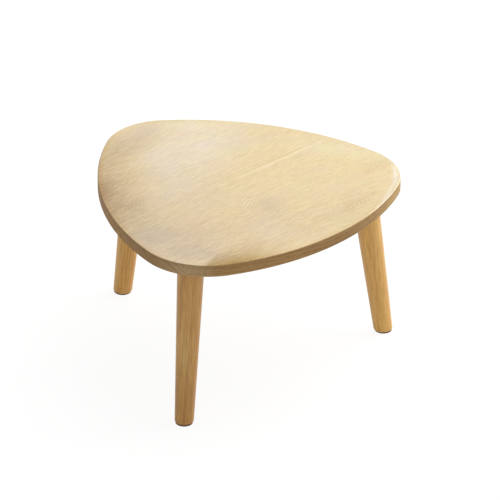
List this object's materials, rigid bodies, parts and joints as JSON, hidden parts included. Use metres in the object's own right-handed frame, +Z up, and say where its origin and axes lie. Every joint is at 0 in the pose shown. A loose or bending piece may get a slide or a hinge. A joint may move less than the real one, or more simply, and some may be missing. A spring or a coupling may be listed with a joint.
{
  "type": "coffee table",
  "caption": "Low triangular coffee table with rounded corners and bowed sides, a pale wooden top and splayed tapered round legs.",
  "frame": {"origin": "on the floor, in the middle of the table's footprint (bounding box of the top and the feet)", "axes": "+Z up; -Y towards the front leg; +X towards the right leg's side; the back leg stands at -X +Y"},
  "size_m": [0.444, 0.4408, 0.27],
  "materials": {
    "top_wood": "pale oak, clear satin lacquer",
    "leg_wood": "honey oak, clear satin lacquer",
    "plate_steel": "black powder coat",
    "fastener_steel": "zinc plated",
    "glide_nylon": "dark brown nylon"
  },
  "bodies": {
    "root": {"board_1": "top_wood", "board_2": "top_wood", "board_3": "top_wood", "board_4": "top_wood", "board_5": "top_wood", "board_6": "top_wood", "glide_back": "glide_nylon", "glide_front": "glide_nylon", "glide_nail_back": "fastener_steel", "glide_nail_front": "fastener_steel", "glide_nail_right": "fastener_steel", "glide_right": "glide_nylon", "hanger_bolt_back": "fastener_steel", "hanger_bolt_front": "fastener_steel", "hanger_bolt_right": "fastener_steel", "leg_back": "leg_wood", "leg_front": "leg_wood", "leg_plate_back": "plate_steel", "leg_plate_front": "plate_steel", "leg_plate_right": "plate_steel", "leg_right": "leg_wood", "plate_nut_back": "fastener_steel", "plate_nut_front": "fastener_steel", "plate_nut_right": "fastener_steel", "plate_screws_back": "fastener_steel", "plate_screws_front": "fastener_steel", "plate_screws_right": "fastener_steel"}
  },
  "joints": []
}
